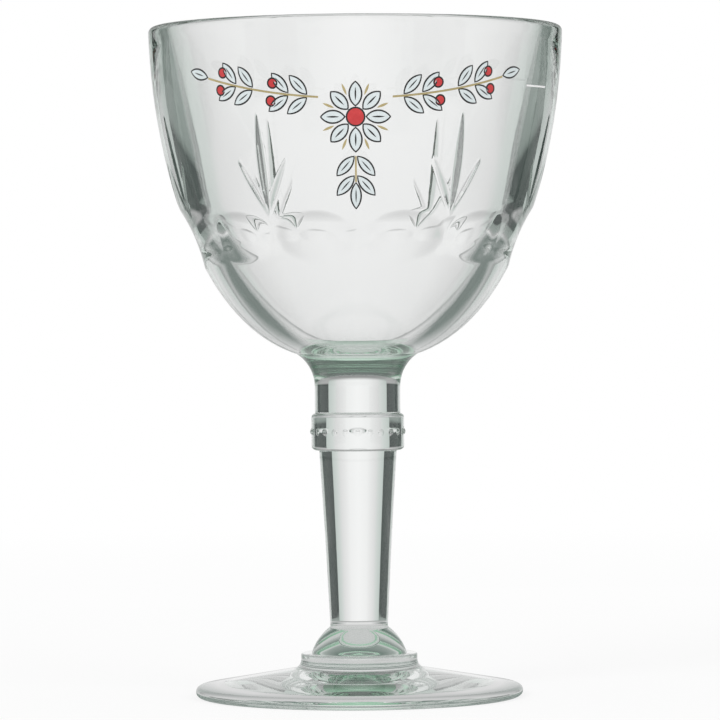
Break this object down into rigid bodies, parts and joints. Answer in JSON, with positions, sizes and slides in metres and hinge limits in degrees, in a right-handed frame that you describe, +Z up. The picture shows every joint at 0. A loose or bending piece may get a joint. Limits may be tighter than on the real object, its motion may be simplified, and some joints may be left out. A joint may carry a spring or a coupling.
{
  "type": "beer glass",
  "caption": "Thick-walled pressed-glass chalice for beer, with a round-bottomed tapered bowl, a collared solid stem, a round foot, a fired floral print and a capacity line.",
  "frame": {"origin": "centre of the foot's resting face, on the table", "axes": "+Z up along the glass's own axis; the printed front faces -Y; +X is to the right of someone who looks at the front"},
  "size_m": [0.1158, 0.1158, 0.1873],
  "materials": {
    "glass": "clear pressed soda-lime glass with a faint green-grey tint, fire-polished",
    "silver_enamel": "fired silver-grey enamel, satin",
    "black_enamel": "fired black enamel, satin",
    "red_enamel": "fired red enamel, satin",
    "fired_gold": "thin fired gold line, satin",
    "white_enamel": "fired white enamel, satin"
  },
  "bodies": {
    "root": {"bowl": "glass", "stem": "glass", "foot": "glass", "silver_print": "silver_enamel", "black_print": "black_enamel", "red_print": "red_enamel", "gold_print": "fired_gold", "fill_mark": "white_enamel"}
  },
  "joints": []
}
